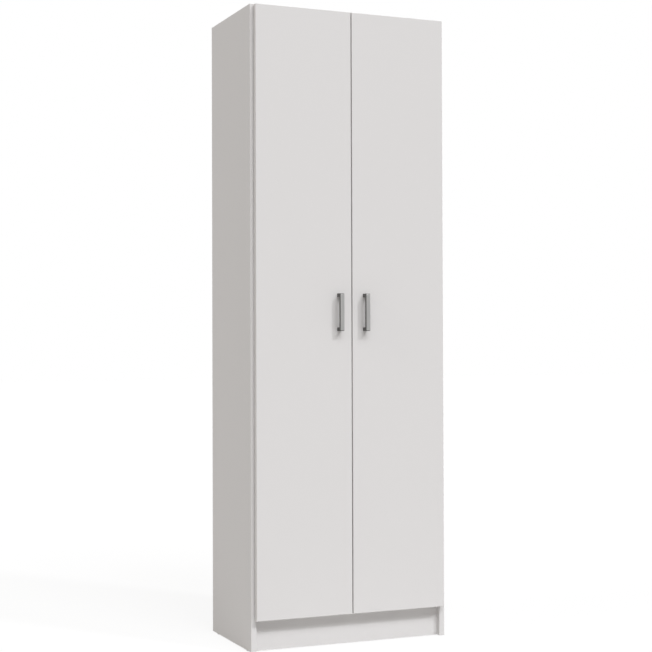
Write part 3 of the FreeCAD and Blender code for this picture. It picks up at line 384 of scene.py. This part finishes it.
metals = {
    "bright_steel": {
        "colour": (0.62, 0.62, 0.61, 1), "worn": (0.54, 0.54, 0.53, 1), "roughness": 0.24, "spread": 0.16,
        "grain": (600, 600, 600), "depth": 0.02 * mm,
    },
    "zinc": {
        "colour": (0.5, 0.5, 0.51, 1), "worn": (0.38, 0.38, 0.39, 1), "roughness": 0.46, "spread": 0.2,
        "grain": (900, 900, 900), "depth": 0.05 * mm,
    },
    "chrome_tube": {
        "colour": (0.72, 0.72, 0.73, 1), "worn": (0.66, 0.66, 0.67, 1), "roughness": 0.09, "spread": 0.08,
        "grain": (500, 12, 500), "depth": 0.008 * mm,
    },
}
metalWear = {
    "grainDetail": 4.0,
    "grainShare": 0.6,  # in the mix that wears the colour
    "grainStrength": 0.35,
    "clouds": 40.0,  # per metre
    "cloudDetail": 3.0,
    "cloudShare": 0.4,
    "cloudSpread": 0.08,
}


def metalFinish(name, metal):
    material, wire = newMaterial(name + "_metal")
    grain = noise(wire, objectPlace(wire, metal["grain"]), 1.0, metalWear["grainDetail"])
    cloud = noise(wire, objectPlace(wire), metalWear["clouds"], metalWear["cloudDetail"])
    wear = grain * metalWear["grainShare"] + cloud * metalWear["cloudShare"]
    roughness = metal["roughness"] + swing(grain, metal["spread"]) + swing(cloud, metalWear["cloudSpread"])
    principled(wire, {
        "Base Color": tint(wire, wear, metal["worn"], metal["colour"]),
        "Metallic": 1.0,
        "Roughness": roughness,
        "Normal": bump(wire, grain, metalWear["grainStrength"], metal["depth"]),
    })
    return material


# Handles: face brushed lengthways; the sides and feet get a much darker colour, a painted shade standing
# in for the dark reflection they show

handleNickel = {
    "face": (0.47, 0.467, 0.46, 1),
    "faceStreak": (0.31, 0.308, 0.302, 1),
    # painted shade: the dark colours of the sides and feet stand in for the dark reflection they show
    "side": (0.165, 0.163, 0.159, 1),
    "paintedShadeSideStreak": (0.1, 0.099, 0.096, 1),
    "brushedFacePaintedShadeSides": 0.25 * mm,  # how far the brushing and the light face colour reach round the edges; past it lies the painted shade of the sides
    "roughness": 0.42,
    "faceRoughness": 0.34,
    "spread": 0.2,
    "grain": (900, 900, 16),  # streaks per metre
    "grainDetail": 4.0,
    "grainStrength": 0.35,
    "grainDepth": 0.02 * mm,
}


def handleFinish(name):
    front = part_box(name)[0].y
    material, wire = newMaterial(name + "_nickel")
    grain = noise(wire, objectPlace(wire, handleNickel["grain"]), 1.0, handleNickel["grainDetail"])
    depth = wire.node("SeparateXYZ", {}, {"Vector": objectPlace(wire)}, "Y")
    # 1 on the brushed front face; where it is 0 the colour is painted shade
    brushedFacePaintedShadeSides = depth < front + handleNickel["brushedFacePaintedShadeSides"]
    face = tint(wire, grain, handleNickel["faceStreak"], handleNickel["face"])
    side = tint(wire, grain, handleNickel["paintedShadeSideStreak"], handleNickel["side"])
    sheen = brushedFacePaintedShadeSides * (handleNickel["faceRoughness"] - handleNickel["roughness"])
    principled(wire, {
        # painted shade: the sides and feet take the dark colour, the brushed face the light one
        "Base Color": tint(wire, brushedFacePaintedShadeSides, side, face),
        "Metallic": 1.0,
        "Roughness": handleNickel["roughness"] + sheen + swing(grain, handleNickel["spread"]),
        "Normal": bump(wire, grain, handleNickel["grainStrength"], handleNickel["grainDepth"]),
    })
    return material


for name in ("handle_left", "handle_right"):
    dress(name, handleFinish(name))
print("handles brushed")


# White plastic of the joining strip, the glides and the rail's end caps

plastic = {
    "colour": (0.76, 0.76, 0.75, 1),
    "shade": (0.72, 0.72, 0.705, 1),
    "roughness": 0.42,
    "spread": 0.1,
    "flow": 35.0,  # drifts of the melt per metre
    "flowDetail": 2.0,
    "spark": 1800,  # spark-eroded mould grain, per metre
    "sparkDetail": 2.0,
    "sparkStrength": 0.3,
    "sparkDepth": 0.04 * mm,
}


def plasticFinish(name):
    material, wire = newMaterial(name)
    place = objectPlace(wire)
    spark = noise(wire, place, plastic["spark"], plastic["sparkDetail"])
    flow = noise(wire, place, plastic["flow"], plastic["flowDetail"])
    principled(wire, {
        "Base Color": tint(wire, flow, plastic["shade"], plastic["colour"]),
        "Roughness": plastic["roughness"] + swing(flow, plastic["spread"]),
        "Normal": bump(wire, spark, plastic["sparkStrength"], plastic["sparkDepth"]),
    })
    return material


# Beech of the dowels, its grain lengthways

beech = {
    "stops": [(0.3, (0.5, 0.3, 0.15, 1)), (0.55, (0.62, 0.41, 0.23, 1)), (0.75, (0.7, 0.49, 0.3, 1))],
    "roughness": 0.6,
    "rayRoughness": 0.2,
    "rays": (60, 900, 900),  # per metre
    "rayDetail": 4.0,
    "rayStrength": 0.3,
    "rayDepth": 0.1 * mm,
}


def beechFinish(name):
    material, wire = newMaterial(name)
    rays = noise(wire, objectPlace(wire, beech["rays"]), 1.0, beech["rayDetail"])
    principled(wire, {
        "Base Color": wire.node("ValToRGB", {"stops": beech["stops"]}, {"Fac": rays}),
        "Roughness": beech["roughness"] + rays * beech["rayRoughness"],
        "Normal": bump(wire, rays, beech["rayStrength"], beech["rayDepth"]),
    })
    return material


# Clear soft buffers behind the doors

rubber = {
    "colour": (0.86, 0.86, 0.84, 1),
    "haze": (0.78, 0.78, 0.76, 1),
    "hazes": 300.0,  # per metre
    "hazeDetail": 2.0,
    "roughness": 0.22,
    "hazeRoughness": 0.15,
    "clearness": 0.6,
    "bending": 1.45,  # of light
}


def rubberFinish(name):
    material, wire = newMaterial(name)
    haze = noise(wire, objectPlace(wire), rubber["hazes"], rubber["hazeDetail"])
    principled(wire, {
        "Base Color": tint(wire, haze, rubber["haze"], rubber["colour"]),
        "Roughness": rubber["roughness"] + haze * rubber["hazeRoughness"],
        "Transmission Weight": rubber["clearness"],
        "IOR": rubber["bending"],
    })
    return material


finishes = {name: metalFinish(name, metal) for name, metal in metals.items()}
finishes["white_plastic"] = plasticFinish("white_moulded")
finishes["dowel_wood"] = beechFinish("turned_beech")
finishes["clear_rubber"] = rubberFinish("clear_buffer")
slotOf = {}
for name, piece in nodes.items():
    slotOf[name] = piece.data.materials[0].name.split(".")[0]
    if slotOf[name] in finishes:
        dress(name, finishes[slotOf[name]])
print("fittings finished:", len(finishes), "finishes")


# Screws with a driven cross recess, in place of the plain turned ones

# Millimetres: head radius, flat on its crown, head height, shank radius, point; then where the head faces
woodScrew = {"head": 3.4, "crown": 2.3, "height": 1.6, "shank": 1.75, "point": 4.0}
armScrew = {"head": 4.2, "crown": 3.2, "height": 2.2, "shank": 2.4, "point": 1.0}
adjustScrew = {"head": 2.6, "crown": 2.2, "height": 0.4, "shank": 2.6, "point": 0.5}
handleScrew = {"head": 4.0, "crown": 3.0, "height": 2.4, "shank": 1.95, "point": 0.6}
screwSizes = {
    "hinge_cup_screws": {**woodScrew, "faces": "back"},
    "hinge_plate_screws": {**woodScrew, "faces": "in"},
    "hinge_arm_screws": {**armScrew, "faces": "in"},
    "hinge_adjust_screws": {**adjustScrew, "faces": "in"},
    "handle_screws": {**handleScrew, "faces": "back"},
    "rail_bracket_screws": {**woodScrew, "faces": "down"},
    "wall_angle_screws": {**woodScrew, "faces": "down"},
}
screwForm = {
    "weld": 0.001 * mm,  # corners closer than this are one
    "cells": 5,  # of the grid across the crown
    "armEnd": 1.5,  # cells from the middle of the cross to the end of an arm
    "armSide": 0.5,  # and to its side
    "reach": 0.62,  # of the arms on the crown
    "depth": 0.9,  # share of the depth that there is for the recess
    "belowHead": 0.4,  # millimetres that the recess may go below the head
    "deepest": 1.6,
    "taper": 0.45,
    "dome": [(0.6, 0.28), (0.92, 0.66), (1.0, 1.0)],  # out from the crown and down the head, as shares
    "tip": 0.08,  # share of the shank left at the point
    "turn": 0.65,  # radians from one screw to the next
    "smoothAngle": 35.0,
}


def islandBoxes(name):  # the lowest and highest corner of each solid in a node
    copy = bmesh.new()
    copy.from_mesh(nodes[name].data)
    bmesh.ops.remove_doubles(copy, verts=copy.verts, dist=screwForm["weld"])
    boxes = []
    for first in copy.verts:
        if first.tag:
            continue
        first.tag = True
        island = [first]
        for vert in island:
            for edge in vert.link_edges:
                other = edge.other_vert(vert)
                if not other.tag:
                    other.tag = True
                    island.append(other)
        low = Vector([min(vert.co[axis] for vert in island) for axis in range(3)])
        high = Vector([max(vert.co[axis] for vert in island) for axis in range(3)])
        boxes.append((low, high))
    copy.free()
    return boxes


def crossCrown(shape, size):  # the flat of a head with the recess in it; gives its open rim
    cell = size["crown"] * screwForm["reach"] / screwForm["armEnd"]
    half = cell * screwForm["cells"] / 2
    bmesh.ops.create_grid(shape, x_segments=screwForm["cells"], y_segments=screwForm["cells"], size=half)
    rim = [edge for edge in shape.edges if edge.is_boundary]
    cross = []
    for face in shape.faces:
        middle = face.calc_center_median()
        near, far = sorted((abs(middle.x), abs(middle.y)))
        if near < cell * screwForm["armSide"] and far < cell * screwForm["armEnd"]:
            cross.append(face)
    for vert in {vert for edge in rim for vert in edge.verts}:
        vert.co = vert.co.normalized() * size["crown"]
    deep = bmesh.ops.extrude_face_region(shape, geom=cross)["geom"]
    bmesh.ops.delete(shape, geom=cross, context="FACES")  # opens the recess at the crown
    sunk = [item for item in deep if isinstance(item, bmesh.types.BMVert)]
    bmesh.ops.scale(shape, vec=(screwForm["taper"], screwForm["taper"], 1), verts=sunk)
    depth = screwForm["depth"] * min(size["height"] + screwForm["belowHead"], screwForm["deepest"])
    bmesh.ops.translate(shape, vec=(0, 0, -depth), verts=sunk)
    return rim


def ringOut(shape, edges, radius, height):  # next ring of a turned form, from the open edge of the last
    made = bmesh.ops.extrude_edge_only(shape, edges=edges)["geom"]
    for vert in [item for item in made if isinstance(item, bmesh.types.BMVert)]:
        flat = Vector((vert.co.x, vert.co.y, 0)).normalized() * radius
        vert.co = Vector((flat.x, flat.y, height))
    return [item for item in made if isinstance(item, bmesh.types.BMEdge) and item.is_boundary]


def crossScrew(size, length):  # head up, tip down, crown at the origin
    shape = bmesh.new()
    edges = crossCrown(shape, size)
    dome = size["head"] - size["crown"]
    rings = [(size["crown"] + dome * out, -size["height"] * down) for out, down in screwForm["dome"]]
    if size["shank"] < size["head"]:
        rings.append((size["shank"], -size["height"]))
    rings.append((size["shank"], size["point"] - length))
    rings.append((size["shank"] * screwForm["tip"], -length))
    for radius, height in rings:
        edges = ringOut(shape, edges, radius, height)
    bmesh.ops.edgeloop_fill(shape, edges=edges)
    bmesh.ops.recalc_face_normals(shape, faces=shape.faces)
    bmesh.ops.scale(shape, vec=(mm, mm, mm), verts=shape.verts)
    return shape


def headDirection(faces, middle):
    if faces == "back":
        return Vector((0, 1, 0))
    if faces == "down":
        return Vector((0, 0, -1))
    return Vector((-math.copysign(1, middle.x), 0, 0))  # in, towards the middle of the wardrobe


def driveScrews(name, size):
    together = bmesh.new()
    for number, (low, high) in enumerate(islandBoxes(name)):
        middle = (low + high) / 2
        facing = headDirection(size["faces"], middle)
        length = abs((high - low).dot(facing))
        crown = middle + facing * length / 2
        one = crossScrew(size, length / mm)
        turn = Matrix.Rotation(number * screwForm["turn"], 4, "Z")
        stand = Vector((0, 0, 1)).rotation_difference(facing).to_matrix().to_4x4()
        bmesh.ops.transform(one, matrix=Matrix.Translation(crown) @ stand @ turn, verts=one.verts)
        loose = bpy.data.meshes.new("one_screw")
        one.to_mesh(loose)
        one.free()
        together.from_mesh(loose)
        bpy.data.meshes.remove(loose)
    return together


def addPiece(name, shape, material, body):
    mesh = bpy.data.meshes.new(name)
    shape.to_mesh(mesh)
    shape.free()
    mesh.materials.append(material)
    mesh.shade_smooth()
    mesh.set_sharp_from_angle(angle=math.radians(screwForm["smoothAngle"]))
    piece = bpy.data.objects.new(name, mesh)
    bpy.context.scene.collection.objects.link(piece)
    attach(piece, body)
    return piece


screwNodes = 0
for name in sorted(nodes):
    kind = name.removesuffix("_left").removesuffix("_right")
    if kind not in screwSizes:
        continue
    slot = slotOf[name]
    screws = driveScrews(name, screwSizes[kind])
    piece = addPiece(name + "_driven", screws, finishes[slot], nodes[name]["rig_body"])
    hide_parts(name)
    screwNodes += 1
print("screws driven in", screwNodes, "nodes")
